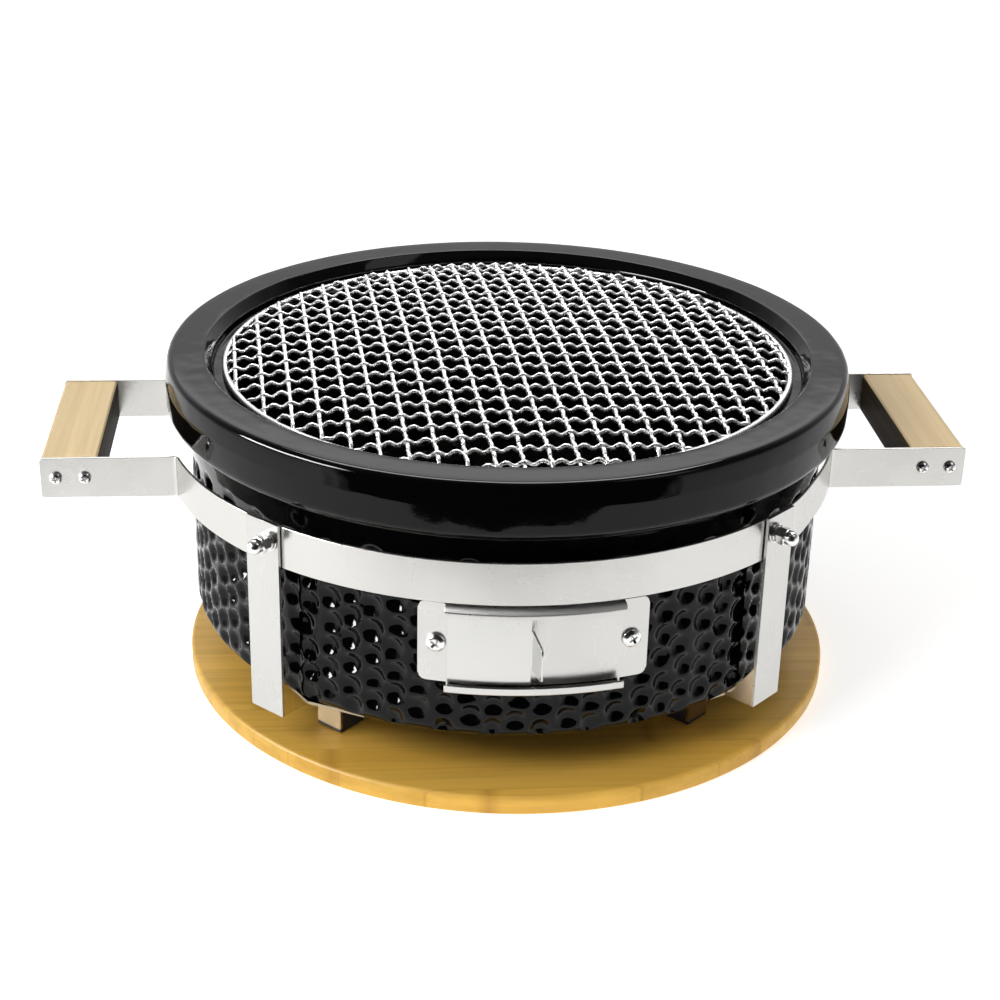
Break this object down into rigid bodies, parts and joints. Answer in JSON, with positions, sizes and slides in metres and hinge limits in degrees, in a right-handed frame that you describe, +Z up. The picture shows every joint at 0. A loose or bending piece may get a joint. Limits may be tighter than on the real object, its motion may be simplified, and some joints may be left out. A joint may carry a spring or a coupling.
{
  "type": "portable tabletop grill",
  "caption": "Round glazed ceramic charcoal grill in a steel hoop cradle with bar handles, a domed wire grate, a sliding draft door and a loose round bamboo board.",
  "frame": {"origin": "on the hoops' vertical axis, at the level of the underside that rests on the table", "axes": "+Z up, -Y towards the draft door, handles along X"},
  "size_m": [0.4608, 0.3529, 0.1754],
  "materials": {
    "glaze": "high gloss black glaze",
    "steel": "finely brushed stainless sheet",
    "fastener": "bright stainless fasteners",
    "grate_wire": "bright stainless wire",
    "charcoal_iron": "matt black cast",
    "handle_wood": "pale bamboo, satin",
    "board": "golden bamboo, satin lacquer",
    "foot_rubber": "matt black"
  },
  "bodies": {
    "board": {"bamboo_board": "board"},
    "grill": {"ceramic_bowl": "glaze", "front_hoop": "steel", "rear_hoop": "steel", "vent_frame": "steel", "leg_front_left": "steel", "leg_front_right": "steel", "leg_rear_left": "steel", "leg_rear_right": "steel", "handle_bar_left": "handle_wood", "handle_bar_right": "handle_wood", "handle_screw_front_left_1": "fastener", "handle_screw_front_left_2": "fastener", "handle_screw_front_right_1": "fastener", "handle_screw_front_right_2": "fastener", "handle_screw_rear_left_1": "fastener", "handle_screw_rear_left_2": "fastener", "handle_screw_rear_right_1": "fastener", "handle_screw_rear_right_2": "fastener", "leg_bolt_front_left": "fastener", "leg_bolt_front_right": "fastener", "leg_bolt_rear_left": "fastener", "leg_bolt_rear_right": "fastener", "plain_washer_front_left": "fastener", "plain_washer_front_right": "fastener", "plain_washer_rear_left": "fastener", "plain_washer_rear_right": "fastener", "spring_washer_front_left": "fastener", "spring_washer_front_right": "fastener", "spring_washer_rear_left": "fastener", "spring_washer_rear_right": "fastener", "acorn_nut_front_left": "fastener", "acorn_nut_front_right": "fastener", "acorn_nut_rear_left": "fastener", "acorn_nut_rear_right": "fastener", "foot_screw_front_left": "fastener", "foot_screw_front_right": "fastener", "foot_screw_rear_left": "fastener", "foot_screw_rear_right": "fastener", "vent_screw_left": "fastener", "vent_screw_right": "fastener", "vent_nut_left": "fastener", "vent_nut_right": "fastener", "foot_block_front_left": "foot_rubber", "foot_block_front_right": "foot_rubber", "foot_block_rear_left": "foot_rubber", "foot_block_rear_right": "foot_rubber"},
    "door": {"draft_door": "steel"},
    "cooking_grate": {"cooking_grate": "grate_wire"},
    "charcoal_grate": {"charcoal_grate": "charcoal_iron"}
  },
  "joints": [
    {"name": "grill_lift", "type": "slide", "parent": "board", "child": "grill", "axis": [0, 0, 1], "range_m": [0, 0.06]},
    {"name": "door_slide", "type": "hinge", "parent": "grill", "child": "door", "pos_m": [0.0018, 0, 0.085], "axis": [0, 0, 1], "range_deg": [0, 12.6]},
    {"name": "cooking_grate_lift", "type": "slide", "parent": "grill", "child": "cooking_grate", "axis": [0, 0, 1], "range_m": [0, 0.06]},
    {"name": "charcoal_grate_lift", "type": "slide", "parent": "grill", "child": "charcoal_grate", "axis": [0, 0, 1], "range_m": [0, 0.045]}
  ]
}
